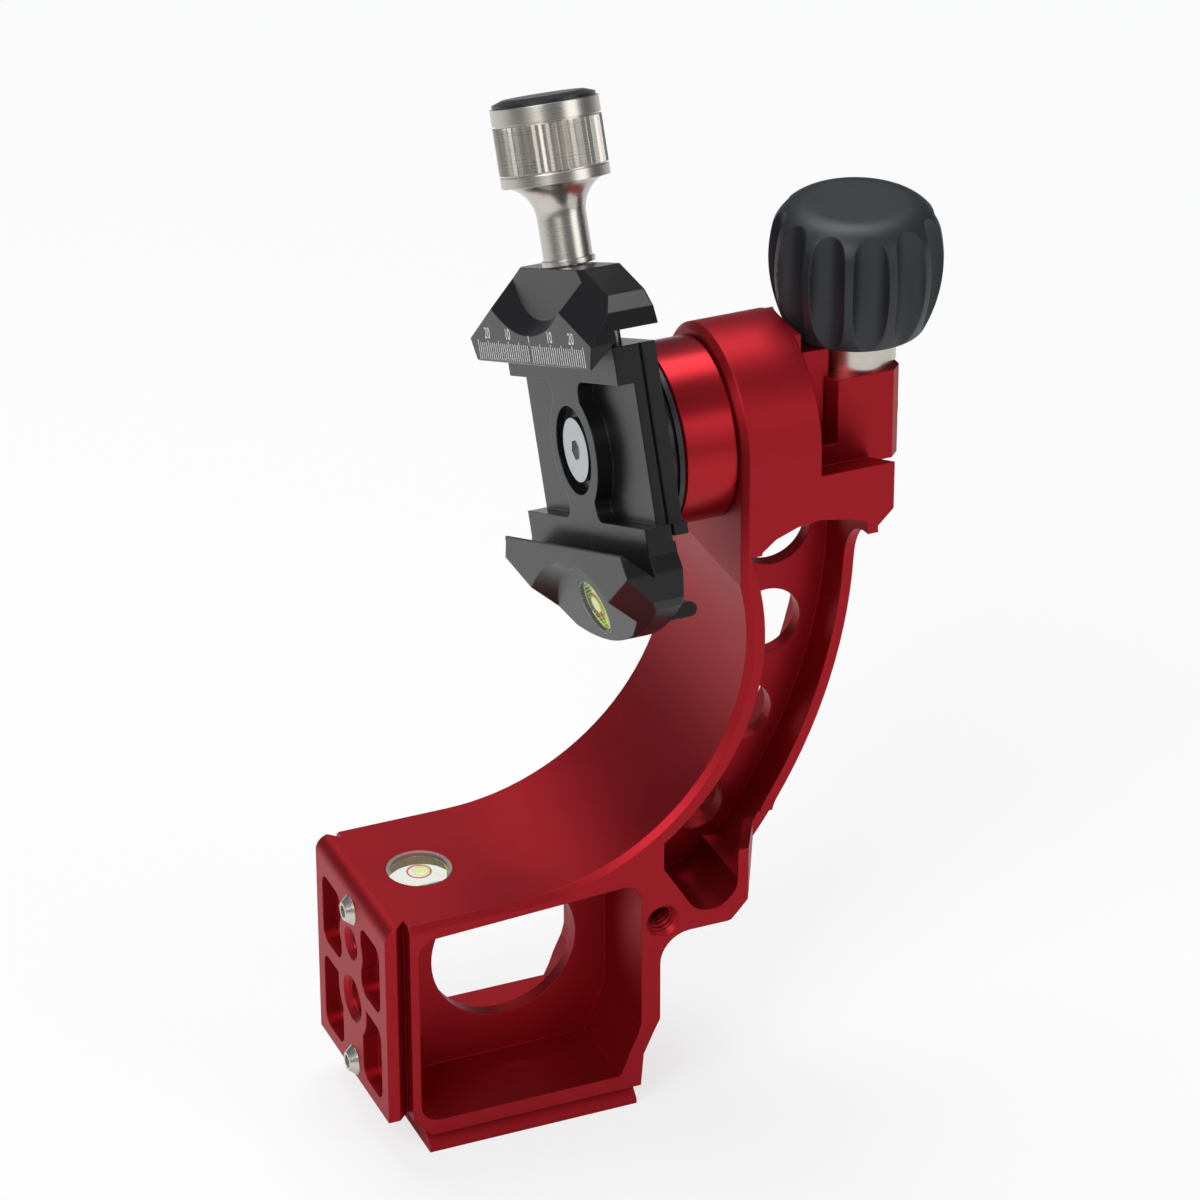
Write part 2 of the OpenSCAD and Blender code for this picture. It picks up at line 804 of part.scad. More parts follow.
module post_plug() {
    color("black") translate([0, 0, axis_h]) difference() {
        rod(post_x1 - plug_t, plug_t, plug_r);
        rod(post_x1 - plug_t / 2, plug_t, plug_r * hex_share, $fn = 6);
    }
}

module brake_shoe() {
    color("goldenrod") difference() {
        translate([post_x, 0, axis_h]) cylinder(h = shoe_top - axis_h, r = shoe_r);
        translate([0, 0, axis_h]) rod(post_x - 2 * shoe_r, 4 * shoe_r, tail_r + shoe_gap);
    }
}

module lock_collar() {
    color("silver") translate([post_x, 0, post_top]) difference() {
        union() {
            cylinder(h = collar_h - bevel / 2, r = collar_r);
            cylinder(h = collar_h, r = collar_r - bevel / 2);
            translate([0, 0, -spigot]) cylinder(h = spigot, r = shoe_r);
        }
        translate([0, 0, -spigot - over]) cylinder(h = collar_h + spigot + 2 * over, r = stud_r + fit);
    }
}

module lock_stud() {
    color("silver") translate([post_x, 0, shoe_top + fit])
        cylinder(h = knob_z0 + stud_in_knob - shoe_top - fit, r = stud_r);
}

// Half of the knob's section: a barrel-shaped side that a smaller round joins to the flat top
module knob_profile() {
    round_z = knob_h - knob_round;
    round_x = knob_r - belly_r + sqrt(pow(belly_r - knob_round, 2) - pow(round_z - belly_z, 2));
    touch_z = belly_z + (round_z - belly_z) * belly_r / (belly_r - knob_round);
    intersection() {
        translate([knob_r - belly_r, belly_z]) circle(r = belly_r, $fn = 128);
        union() {
            square([knob_r, touch_z]);
            square([round_x, knob_h]);
            translate([round_x, round_z]) circle(r = knob_round);
        }
    }
}

module lock_knob() {
    color("black") translate([post_x, 0, knob_z0]) difference() {
        rotate_extrude() knob_profile();
        for (k = [0:flute_n - 1]) rotate([0, 0, (k + 0.5) * 360 / flute_n])
            translate([knob_r + flute_r - flute_depth, 0, -over]) cylinder(h = knob_h + 2 * over, r = flute_r);
        translate([0, 0, -over]) cylinder(h = knob_cup_d + over, r = knob_cup_r);
        translate([0, 0, -over]) cylinder(h = stud_in_knob + over, r = stud_r);
    }
}

// Front view of the moving jaw, its mouth edge at the low side
module jaw_front() {
    polygon([
        for (p = jaw_shares) [p[0] * jaw_y, mouth_z + p[1] * jaw_h],
        for (k = [1:len(jaw_shares)]) let (p = jaw_shares[len(jaw_shares) - k])
            [-p[0] * jaw_y, mouth_z + p[1] * jaw_h]
    ]);
}

// Front view of the fixed jaw, which ends in a wide round
module low_jaw_front() {
    last = len(jaw_shares) - 2;
    intersection() {
        translate([0, -jaw_low + low_round]) circle(r = low_round, $fn = 128);
        polygon([
            for (p = jaw_shares) if (p[1] < 1) [p[0] * jaw_y, -mouth_z - p[1] * jaw_h],
            [jaw_shares[last][0] * jaw_y, -jaw_low], [-jaw_shares[last][0] * jaw_y, -jaw_low],
            for (k = [0:last]) let (p = jaw_shares[last - k]) [-p[0] * jaw_y, -mouth_z - p[1] * jaw_h]
        ]);
    }
}

// Side view of the moving jaw in X and Z, with its slanted grip
module jaw_side() {
    polygon([
        [face_x, mouth_z + lip_edge], [face_x + lip_edge, mouth_z],
        [grip_x, mouth_z + grip_x - face_x - lip_edge], [grip_x, jaw_bottom],
        [back_x, jaw_bottom], [back_x, jaw_top], [face_x, jaw_top]
    ]);
}

// The slanted facets at both ends of a jaw
module jaw_facets() {
    reach = jaw_len + jaw_h;
    for (s = [0, 1]) mirror([0, s, 0])
        translate([face_x, -jaw_y * jaw_shares[1][0], mouth_z + jaw_h * jaw_shares[1][1]])
            rotate([facet_turn, 0, 0]) rotate([0, facet_lean, 0])
                translate([-reach, -reach, -reach]) cube([reach, 2 * reach, 2 * reach]);
}

// Places things on the leaning back wall of the scoop of a jaw
module on_wall() {
    translate([face_x + scoop_d, 0, wall_z]) rotate([0, wall_lean, 0]) children();
}

// A cone that opens to the front and ends at a leaning back wall
module jaw_scoop(band) {
    intersection() {
        translate([face_x - scoop_d, 0, mouth_z + band + scoop_r]) rotate([0, 90, 0])
            cylinder(h = 3 * scoop_d, r1 = scoop_r + scoop_taper, r2 = scoop_r - 2 * scoop_taper, $fn = 128);
        on_wall() translate([-jaw_len, -jaw_len, -jaw_len]) cube([jaw_len, 2 * jaw_len, 2 * jaw_len]);
    }
}

module clamp_side() {
    polygon([
        [floor_x, body_top], [back_x, body_top], [back_x, -cover_z0], [plate_x, -cover_z0],
        [plate_x, -jaw_low], [face_x, -jaw_low], [face_x, -mouth_z - lip_edge],
        [face_x + lip_edge, -mouth_z], [floor_x, face_x + lip_edge - mouth_z - floor_x]
    ]);
}

module clamp_front() {
    translate([-body_y, -cover_z0]) square([2 * body_y, body_top + cover_z0]);
    translate([-jaw_y * strip_share, -mouth_z - jaw_rise]) square([jaw_len * strip_share, jaw_rise + mouth_z - land_z]);
    low_jaw_front();
}

// A rounded lip along the back of the fixed jaw
module hook() {
    translate([plate_x - over, -hook_y, -hook_z]) cube([hook_x - hook_h / 2 - plate_x + over, 2 * hook_y, hook_h]);
    translate([hook_x - hook_h / 2, -hook_y, hook_h / 2 - hook_z]) rotate([-90, 0, 0])
        cylinder(h = 2 * hook_y, r = hook_h / 2);
}

// The two open bays in the floor, with the round boss of the screw between them
module floor_bays() {
    for (s = [0, 1]) mirror([0, s, 0]) along(floor_x - over, bay_depth + over) difference() {
        round_box(bay_edge, body_y + jaw_rise, -land_z, land_z, bay_corner);
        circle(r = boss_r);
    }
}

module clamp_body() {
    color("dimgray") tilted() difference() {
        union() {
            intersection() {
                slab(jaw_len + over) clamp_side();
                along(face_x - over, clamp_t + jaw_rise + 2 * over) clamp_front();
            }
            hook();
        }
        mirror([0, 0, 1]) jaw_scoop(low_band_h);
        mirror([0, 0, 1]) jaw_facets();
        in_clamp_level() cylinder(h = level_d + over, r = clamp_level_r);
        floor_bays();
        for (s = [0, 1]) mirror([0, s, 0]) translate([groove_x, body_y - groove_d, -cover_z0 - over])
            cube([groove_w, jaw_y, body_top + cover_z0 + 2 * over]);
        rod(floor_x - over, sink_d + over, sink_r);
        rod(floor_x, clamp_t + over, screw_stem_r);
        translate([screw_x, 0, screw_bore_z])
            cylinder(h = body_top - screw_bore_z + over, r = clamp_screw_r + fit);
        for (y = [-pin_y, pin_y]) translate([pin_x, y, pin_z0])
            cylinder(h = body_top - pin_z0 + over, r = pin_r);
    }
}

// The level stands square to the leaning back wall of the fixed jaw
module in_clamp_level() {
    mirror([0, 0, 1]) on_wall() translate([level_d, 0, (clamp_level_z - wall_z) / cos(wall_lean)])
        rotate([0, -90, 0]) children();
}

module clamp_vial() {
    color("lightcyan") tilted() in_clamp_level() vial(clamp_level_r, level_d);
}

module clamp_liquid() {
    color("greenyellow") tilted() in_clamp_level() liquid(clamp_level_r, level_d);
}

module moving_jaw() {
    color("dimgray") tilted() difference() {
        intersection() {
            slab(jaw_len + over) jaw_side();
            along(face_x - over, clamp_t + jaw_rise + 2 * over) jaw_front();
        }
        jaw_scoop(band_h);
        jaw_facets();
        translate([screw_x, 0, jaw_bottom - over])
            cylinder(h = jaw_top - jaw_bottom + 2 * over, r = clamp_screw_r + fit);
        for (y = [-pin_y, pin_y]) translate([pin_x, y, jaw_bottom - over])
            cylinder(h = pin_bore_top - jaw_bottom + over, r = pin_r + fit);
    }
}

module guide_pin(y) {
    color("black") tilted() translate([pin_x, y, pin_z0]) cylinder(h = pin_top - pin_z0, r = pin_r);
}

module clamp_screw() {
    color("silver") tilted() translate([screw_x, 0, clamp_screw_z])
        cylinder(h = neck_z + flare_h - clamp_screw_z, r = clamp_screw_r);
}

module neck_ring() {
    color("silver") tilted() translate([screw_x, 0, jaw_top + air]) difference() {
        cylinder(h = neck_ring_h, r = neck_r + neck_step);
        translate([0, 0, -over]) cylinder(h = neck_ring_h + 2 * over, r = clamp_screw_r);
    }
}

module knurled_disc(r, h) {
    linear_extrude(h) polygon([for (k = [0:2 * knurl_n - 1])
        let (a = k * 180 / knurl_n, rr = r - (k % 2) * knurl_d) [rr * cos(a), rr * sin(a)]]);
}

module clamp_knob() {
    color("silver") tilted() translate([screw_x, 0, 0]) difference() {
        union() {
            translate([0, 0, neck_z]) cylinder(h = head_z - neck_z, r = neck_r);
            translate([0, 0, head_z - flare_h]) rotate_extrude() difference() {
                square([head_r - knurl_d, flare_h]);
                translate([neck_r + flare_round, 0]) circle(r = flare_round);
            }
            translate([0, 0, head_z]) cylinder(h = head_h, r = head_r - knurl_d);
            translate([0, 0, head_z]) cylinder(h = knurl_z0 - bevel / 3, r = head_r);
            translate([0, 0, head_z + knurl_z0]) knurled_disc(head_r, knurl_h);
            translate([0, 0, head_z + knurl_z0 + knurl_h + bevel / 3])
                cylinder(h = head_h - knurl_z0 - knurl_h - bevel / 3, r = head_r);
        }
        translate([0, 0, neck_z - over]) cylinder(h = flare_h + over, r = clamp_screw_r);
    }
}

module knob_cap() {
    color("black") tilted() translate([screw_x, 0, head_z + head_h]) {
        cylinder(h = cap_h / 2, r = cap_r);
        translate([0, 0, cap_h / 2]) cylinder(h = cap_h / 2, r1 = cap_r, r2 = cap_r * cap_crown_share);
    }
}

arm();
base_vial();
base_liquid();
end_stop(end_stop_z[1]);  // end_stop_upper
end_stop(end_stop_z[0]);  // end_stop_lower
foot_stop(-foot_stop_x);  // foot_stop_near
foot_stop(foot_stop_x);  // foot_stop_far
hub();
hub_washer();
friction_ring();
adapter_disc();
tilt_shaft();
shaft_nut();
centre_screw();
outer_race(bearing_x);  // front_outer_race
inner_race(bearing_x);  // front_inner_race
balls(bearing_x);  // front_balls
outer_race(rear_bearing_x);  // rear_outer_race
inner_race(rear_bearing_x);  // rear_inner_race
balls(rear_bearing_x);  // rear_balls
inner_spacer();
outer_spacer();
bearing_retainer();
post_plug();
brake_shoe();
lock_collar();
lock_stud();
lock_knob();
clamp_body();
clamp_vial();
clamp_liquid();
moving_jaw();
guide_pin(-pin_y);  // near_guide_pin
guide_pin(pin_y);  // far_guide_pin
clamp_screw();
neck_ring();
clamp_knob();
knob_cap();
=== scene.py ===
"""Looks of the side-arm gimbal head: camera, studio, finishes and the small details."""
import math

import bpy
import numpy as np
from mathutils import Matrix, Vector


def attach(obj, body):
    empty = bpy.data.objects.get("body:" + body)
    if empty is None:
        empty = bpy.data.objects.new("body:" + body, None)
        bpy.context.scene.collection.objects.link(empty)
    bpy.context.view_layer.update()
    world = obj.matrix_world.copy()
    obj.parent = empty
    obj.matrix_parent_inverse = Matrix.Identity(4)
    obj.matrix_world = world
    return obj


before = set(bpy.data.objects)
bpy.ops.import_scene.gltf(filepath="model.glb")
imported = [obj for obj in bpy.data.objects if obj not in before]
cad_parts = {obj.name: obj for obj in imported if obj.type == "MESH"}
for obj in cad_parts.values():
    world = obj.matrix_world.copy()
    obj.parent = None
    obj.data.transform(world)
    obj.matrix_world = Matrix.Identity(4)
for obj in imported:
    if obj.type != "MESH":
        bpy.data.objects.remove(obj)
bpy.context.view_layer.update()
MM = 0.001

# Measures of the head, in millimetres, as in the CAD
AXIS_H = 138.2
CLAMP_TILT = math.radians(23)
LEVEL_X, BASE_TOP, LEVEL_R, VIAL_WALL = -16.0, 53.3, 6.5, 0.8
CLAMP_LEVEL_X, CLAMP_LEVEL_Z, CLAMP_LEVEL_R, WALL_LEAN = 16.19, -30.1, 5.8, math.radians(15.6)
JAW_FACE_X, MOUTH_Z, SCALE_STEP = 11.5, 17.3, 1.14
RING_MARK_R, RING_MARK_WIDE, BUBBLE_R, BUBBLE_THICK = 2.15, 0.35, 1.75, 0.28
RIM_WIDE, RIM_INSET = 0.8, 0.05
TICK_LOW, TICK_HIGH, FIFTH_TICK_HIGH, MIDDLE_TICK_HIGH = 0.45, 3.3, 3.8, 5.2
FIGURE_LOW, FIGURE_SIZE, MARK_THICK = 4.6, 3.1, 0.03


# Places
def in_clamp(points):
    """Points given upright about the tilt axis, leant back with the clamp."""
    x, y, z = points[..., 0], points[..., 1], points[..., 2]
    c, s = math.cos(CLAMP_TILT), math.sin(CLAMP_TILT)
    return np.stack([x, y * c + z * s, AXIS_H - y * s + z * c], axis=-1)


def turned(points, origin, axis):
    """Points given about +Z, turned so that +Z runs along axis, and moved to origin."""
    w = np.array(axis, float) / np.linalg.norm(axis)
    u = np.cross([0.0, 1.0, 0.0] if abs(w[1]) < 0.9 else [1.0, 0.0, 0.0], w)
    u /= np.linalg.norm(u)
    v = np.cross(w, u)
    return points @ np.stack([u, v, w]) + np.array(origin, float)


# Surfaces
def skin(name, points, body, material, closed=(True, True), smooth=True):
    """A sheet of quads over a grid of points, in millimetres, closed along the ways that are asked."""
    n, m = points.shape[:2]
    i = np.arange(n if closed[0] else n - 1)[:, None]
    j = np.arange(m if closed[1] else m - 1)[None, :]
    i2, j2 = (i + 1) % n, (j + 1) % m
    quads = np.stack([i * m + j, i2 * m + j, i2 * m + j2, i * m + j2], axis=-1).reshape(-1, 4)
    mesh = bpy.data.meshes.new(name)
    mesh.from_pydata((points.reshape(-1, 3) * MM).tolist(), [], quads.tolist())
    mesh.polygons.foreach_set("use_smooth", np.full(len(quads), smooth))
    mesh.update()
    return piece(name, mesh, body, material)


def piece(name, mesh, body, material):
    obj = bpy.data.objects.new(name, mesh)
    bpy.context.scene.collection.objects.link(obj)
    mesh.materials.append(material)
    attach(obj, body)
    return obj


def revolved(profile, steps=72):
    """A closed profile of radius and height, swept round +Z: (r cos a, r sin a, h)."""
    a = np.linspace(0, 2 * np.pi, steps, endpoint=False)[:, None]
    r, h = profile[:, 0][None, :], profile[:, 1][None, :]
    return np.stack([r * np.cos(a), r * np.sin(a), h + 0 * a], axis=-1)


def thread(r_wall, pitch, length, depth):
    """The wall of a threaded hole: its radius falls by a rounded ridge that climbs one pitch a turn."""
    a = np.linspace(0, 2 * np.pi, 48, endpoint=False)[:, None]
    s = np.linspace(0, length, int(length / pitch * 10))[None, :]
    ridge = 0.5 + 0.5 * np.cos(2 * np.pi * (s / pitch - a / (2 * np.pi)))
    fade = np.clip(s / pitch, 0, 1) * np.clip((length - s) / pitch, 0, 1)
    r_in = r_wall - 0.04 - depth * ridge * fade
    inner = np.stack([r_in * np.cos(a), r_in * np.sin(a), s + 0 * a], axis=-1)
    r_out = r_wall - 0.01
    outer = [np.stack([r_out * np.cos(a[:, 0]), r_out * np.sin(a[:, 0]), 0 * a[:, 0] + h], axis=-1)
             for h in (length, 0.0)]
    return np.concatenate([inner, outer[0][:, None], outer[1][:, None]], axis=1)[:, ::-1]


# Shader writing
class Value:
    """A number socket of a node tree, so that shader maths reads as plain expressions."""

    def __init__(self, make, socket):
        self.make, self.socket = make, socket

    def _maths(self, operation, *others):
        return self.make.node("ShaderNodeMath", {"operation": operation}, self, *others)

    def __add__(self, other): return self._maths("ADD", other)
    def __radd__(self, other): return self._maths("ADD", other)
    def __mul__(self, other): return self._maths("MULTIPLY", other)
    def __rmul__(self, other): return self._maths("MULTIPLY", other)


class Finish:
    """One material, with the few node calls that its maker uses."""

    def __init__(self, name):
        self.material = bpy.data.materials.new(name)
        self.material.use_nodes = True
        self.tree = self.material.node_tree
        self.tree.nodes.clear()

    def node(self, kind, settings=None, *values, out=0, **named):
        n = self.tree.nodes.new(kind)
        for key, value in (settings or {}).items():
            setattr(n, key, value)
        for key, value in list(enumerate(values)) + [(k.replace("_", " "), v) for k, v in named.items()]:
            socket = n.inputs[key]
            if isinstance(value, Value):
                self.tree.links.new(value.socket, socket)
            else:
                socket.default_value = value
        return Value(self, n.outputs[out] if len(n.outputs) else None)

    def place(self):
        return self.node("ShaderNodeTexCoord", out="Object")

    def noise(self, where, scale, detail=2.0, rough=0.5, stretch=None):
        if stretch:
            where = self.node("ShaderNodeVectorMath", {"operation": "MULTIPLY"}, where, stretch)
        return self.node("ShaderNodeTexNoise", {}, Vector=where, Scale=scale, Detail=detail,
                         Roughness=rough)

    def mix(self, share, a, b):
        n = self.tree.nodes.new("ShaderNodeMix")
        n.data_type = "RGBA"
        for socket, value in zip((n.inputs[0], n.inputs[6], n.inputs[7]), (share, a, b)):
            if isinstance(value, Value):
                self.tree.links.new(value.socket, socket)
            else:
                socket.default_value = value if not isinstance(value, tuple) else (*value, 1.0)
        return Value(self, n.outputs[2])

    def bump(self, height, strength, distance, over=None):
        named = {"Strength": strength, "Distance": distance * MM, "Height": height}
        if over:
            named["Normal"] = over
        return self.node("ShaderNodeBump", {}, **named)

    def soft_edges(self, radius):
        return self.node("ShaderNodeBevel", {"samples": 6}, Radius=radius * MM)

    def done(self, colour, roughness, metallic, normal=None, **more):
        bsdf = self.tree.nodes.new("ShaderNodeBsdfPrincipled")
        sockets = {"Base Color": colour, "Roughness": roughness, "Metallic": metallic, **more}
        if normal:
            sockets["Normal"] = normal
        for key, value in sockets.items():
            if isinstance(value, Value):
                self.tree.links.new(value.socket, bsdf.inputs[key])
            else:
                is_colour = isinstance(value, tuple) and len(value) == 3
                bsdf.inputs[key].default_value = (*value, 1.0) if is_colour else value
        out = self.tree.nodes.new("ShaderNodeOutputMaterial")
        self.tree.links.new(bsdf.outputs[0], out.inputs[0])
        return self.material


# Finishes
def red_anodising():
    """Bead-blasted aluminium, dyed red: fine grain, slightly uneven dye, softened edges."""
    f = Finish("red_anodising")
    where = f.place()
    cloud = f.noise(where, 55.0, 3.0)
    grain = f.noise(where, 5200.0, 1.0)
    colour = f.mix(cloud, (0.33, 0.010, 0.017), (0.40, 0.014, 0.022))
    rough = 0.41 + 0.08 * cloud + 0.03 * grain
    normal = f.bump(grain, 0.10, 0.02, f.soft_edges(0.35))
    return f.done(colour, rough, 0.9, normal)


def turned_red():
    """The hub: red anodising over fine turning marks that run round the tilt axis."""
    f = Finish("turned_red")
    where = f.place()
    rings = f.noise(where, 1.0, 2.0, 0.6, stretch=(9000.0, 30.0, 30.0))
    grain = f.noise(where, 5200.0, 1.0)
    colour = f.mix(f.noise(where, 60.0), (0.38, 0.012, 0.019), (0.46, 0.018, 0.026))
    normal = f.bump(rings, 0.06, 0.02, f.soft_edges(0.3))
    return f.done(colour, 0.27 + 0.06 * grain, 0.9, normal)


def black_anodising():
    """Satin black anodising on milled faces: faint milling lines and edges that catch the light."""
    f = Finish("black_anodising")
    where = f.place()
    lines = f.noise(where, 1.0, 2.0, 0.6, stretch=(120.0, 90.0, 4200.0))
    cloud = f.noise(where, 70.0, 3.0)
    colour = f.mix(cloud, (0.007, 0.007, 0.008), (0.012, 0.0115, 0.0125))
    normal = f.bump(lines, 0.05, 0.02, f.soft_edges(0.4))
    return f.done(colour, 0.25 + 0.07 * cloud, 0.15, normal, **{"Specular IOR Level": 0.3})


def stainless(name, direction):
    """Turned stainless steel: fine rings across the axis that it was turned about."""
    f = Finish(name)
    along = f.node("ShaderNodeVectorMath", {"operation": "DOT_PRODUCT"}, f.place(), direction, out="Value")
    line = f.node("ShaderNodeTexNoise", {"noise_dimensions": "1D"}, W=along, Scale=4500.0, Detail=2.0)
    cloud = f.noise(f.place(), 120.0)
    colour = f.mix(line, (0.52, 0.49, 0.44), (0.66, 0.625, 0.57))
    normal = f.bump(line, 0.08, 0.015, f.soft_edges(0.15))
    return f.done(colour, 0.22 + 0.10 * line + 0.04 * cloud, 1.0, normal)


def knob_rubber():
    """Moulded knob: dense blue-black rubber with a smooth bloom and a very fine skin."""
    f = Finish("knob_rubber")
    where = f.place()
    bloom = f.noise(where, 90.0, 4.0)
    skin_grain = f.noise(where, 2600.0, 2.0)
    colour = f.mix(bloom, (0.009, 0.010, 0.013), (0.015, 0.017, 0.021))
    normal = f.bump(skin_grain, 0.12, 0.03, f.soft_edges(0.5))
    return f.done(colour, 0.42 + 0.1 * bloom, 0.0, normal)


def black_plastic():
    f = Finish("black_plastic")
    grain = f.noise(f.place(), 1500.0, 3.0)
    return f.done(f.mix(grain, (0.010, 0.010, 0.011), (0.022, 0.022, 0.024)), 0.3 + 0.12 * grain, 0.0,
                  f.bump(grain, 0.08, 0.02))


def bronze():
    f = Finish("bronze")
    cloud = f.noise(f.place(), 300.0, 3.0)
    return f.done(f.mix(cloud, (0.42, 0.25, 0.09), (0.56, 0.36, 0.14)), 0.3 + 0.15 * cloud, 1.0)


def clear_vial():
    """Clear acrylic: a gloss skin over an almost open body, with a faint moulding haze."""
    f = Finish("clear_vial")
    haze = f.noise(f.place(), 400.0, 2.0)
    return f.done((0.93, 0.97, 0.94), 0.04 + 0.05 * haze, 0.0, Alpha=0.07 + 0.04 * haze)


def level_liquid():
    """Bright yellow-green liquid, with painted light: an emission glow makes it look lit from within."""
    f = Finish("level_liquid")
    depth = f.noise(f.place(), 260.0, 2.0)
    colour = f.mix(depth, (0.46, 0.66, 0.02), (0.64, 0.84, 0.07))
    # Painted light: the emission makes the liquid glow though it is no lamp.
    glow = {"Emission Color": colour, "Emission Strength": 0.42, "Specular IOR Level": 0.1}
    return f.done(colour, 0.35 + 0.05 * depth, 0.0, **glow)


def paint(name, colour, roughness=0.4, metallic=0.0):
    f = Finish(name)
    fleck = f.noise(f.place(), 900.0, 2.0)
    darker = tuple(c * 0.86 for c in colour)
    return f.done(f.mix(fleck, darker, colour), roughness + 0.06 * fleck, metallic)


red, hub_red, black = red_anodising(), turned_red(), black_anodising()
lean = (0.0, math.sin(CLAMP_TILT), math.cos(CLAMP_TILT))
steel_up = stainless("stainless_upright", (0.0, 0.0, 1.0))
steel_along = stainless("stainless_along", (1.0, 0.0, 0.0))
steel_lean = stainless("stainless_leant", lean)
dark_ring = paint("dark_ring", (0.045, 0.043, 0.042), 0.24, 0.7)
screw_steel = paint("screw_steel", (0.50, 0.52, 0.54), 0.26, 1.0)
pin_steel = paint("pin_steel", (0.16, 0.15, 0.14), 0.25, 1.0)
rubber, plastic, shoe_bronze = knob_rubber(), black_plastic(), bronze()
vial, liquid = clear_vial(), level_liquid()
white_paint = paint("white_paint", (0.78, 0.78, 0.76), 0.55)
ring_red = paint("ring_red", (0.75, 0.05, 0.02), 0.35)
bubble_clear = paint("bubble_clear", (0.80, 0.90, 0.35), 0.08)

FINISH_OF = {
    "arm": red, "hub": hub_red, "hub_washer": plastic, "friction_ring": dark_ring,
    "adapter_disc": black, "tilt_shaft": steel_along, "shaft_nut": steel_along,
    "centre_screw": screw_steel, "bearing_retainer": black, "post_plug": plastic,
    "brake_shoe": shoe_bronze, "lock_collar": steel_up, "lock_stud": steel_up, "lock_knob": rubber,
    "clamp_body": black, "moving_jaw": black, "base_vial": vial, "clamp_vial": vial,
    "base_liquid": liquid, "clamp_liquid": liquid, "near_guide_pin": pin_steel,
    "far_guide_pin": pin_steel, "clamp_screw": steel_lean, "neck_ring": steel_lean,
    "clamp_knob": steel_lean, "knob_cap": plastic, "foot_stop_near": steel_up, "foot_stop_far": steel_up,
}
for name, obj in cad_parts.items():
    finish = FINISH_OF.get(name, steel_along)
    for slot in obj.material_slots:
        slot.material = finish


# Threads
def cut_threads():
    holes = {
        "end_small_thread": ((-29.55, 0, 39.6), (1, 0, 0), 2.65, 1.27, 8.9, 0.45),
        "end_large_thread": ((-29.55, 0, 26.8), (1, 0, 0), 4.1, 1.59, 8.9, 0.6),
        "side_thread": ((27.1, -19.0, 42.0), (0, 1, 0), 2.65, 1.27, 12.9, 0.45),
        "foot_thread": ((0, 0, 0.1), (0, 0, 1), 4.1, 1.59, 6.8, 0.6),
    }
    for name, (mouth, way, r, pitch, length, depth) in holes.items():
        skin(name, turned(thread(r, pitch, length, depth), mouth, way), "arm", red)


# Bubble levels
def flat_ring(r_in, r_out, low, high):
    return revolved(np.array([[r_in, low], [r_out, low], [r_out, high], [r_in, high]], float))


def drop(r, height):
    """A flattened bubble: an ellipse turned round its short axis."""
    t = np.linspace(-np.pi / 2, np.pi / 2, 17)[1:-1]
    profile = np.stack([r * np.cos(t), height * np.sin(t)], axis=-1)
    profile = np.concatenate([[[0.01, -height]], profile, [[0.01, height]]])
    return revolved(profile, 40)


def dress_level(name, body, put, r, top):
    """Ring mark, bubble and bright edge of one level, given about +Z with its lid at top."""
    under = top - VIAL_WALL
    mark = flat_ring(RING_MARK_R, RING_MARK_R + RING_MARK_WIDE, under + 0.05, under + 0.12)
    bubble = drop(BUBBLE_R, BUBBLE_THICK) + np.array([0.35, -0.2, under + 0.3])
    r_rim = r - RIM_INSET
    rim = flat_ring(r_rim - RIM_WIDE, r_rim, top + 0.005, top + 0.09)
    skin(name + "_ring_mark", put(mark), body, ring_red)
    skin(name + "_bubble", put(bubble), body, bubble_clear)
    skin(name + "_rim", put(rim), body, vial)


def dress_levels():
    dress_level("base_level", "arm", lambda p: p + np.array([LEVEL_X, 0, BASE_TOP]), LEVEL_R, 0.0)
    outwards = (-math.cos(WALL_LEAN), 0, -math.sin(WALL_LEAN))

    def on_clamp(p):
        return in_clamp(turned(p, (CLAMP_LEVEL_X, 0, CLAMP_LEVEL_Z), outwards))

    dress_level("clamp_level", "tilting_clamp", on_clamp, CLAMP_LEVEL_R, 0.0)


# Scale of the jaw
def bars(name, rows, body, material):
    """Many thin raised bars at once: each row is y, low z, high z and half width, on the jaw's face."""
    rows = np.array(rows, float)
    corner = np.array([[-1, 0], [1, 0], [1, 1], [-1, 1]], float)
    y = rows[:, None, 0] + corner[None, :, 0] * rows[:, None, 3]
    z = np.where(corner[None, :, 1] > 0, rows[:, None, 2], rows[:, None, 1])
    loops = [np.stack([0 * y + JAW_FACE_X + lift, y, z], axis=-1) for lift in (0.0, -MARK_THICK)]
    points = in_clamp(np.concatenate(loops, axis=1))
    faces = np.array([[0, 1, 2, 3], [7, 6, 5, 4], [0, 4, 5, 1], [1, 5, 6, 2], [2, 6, 7, 3], [3, 7, 4, 0]])
    quads = (faces[None] + 8 * np.arange(len(rows))[:, None, None]).reshape(-1, 4)
    mesh = bpy.data.meshes.new(name)
    mesh.from_pydata((points.reshape(-1, 3) * MM).tolist(), [], quads.tolist())
    mesh.update()
    return piece(name, mesh, body, material)


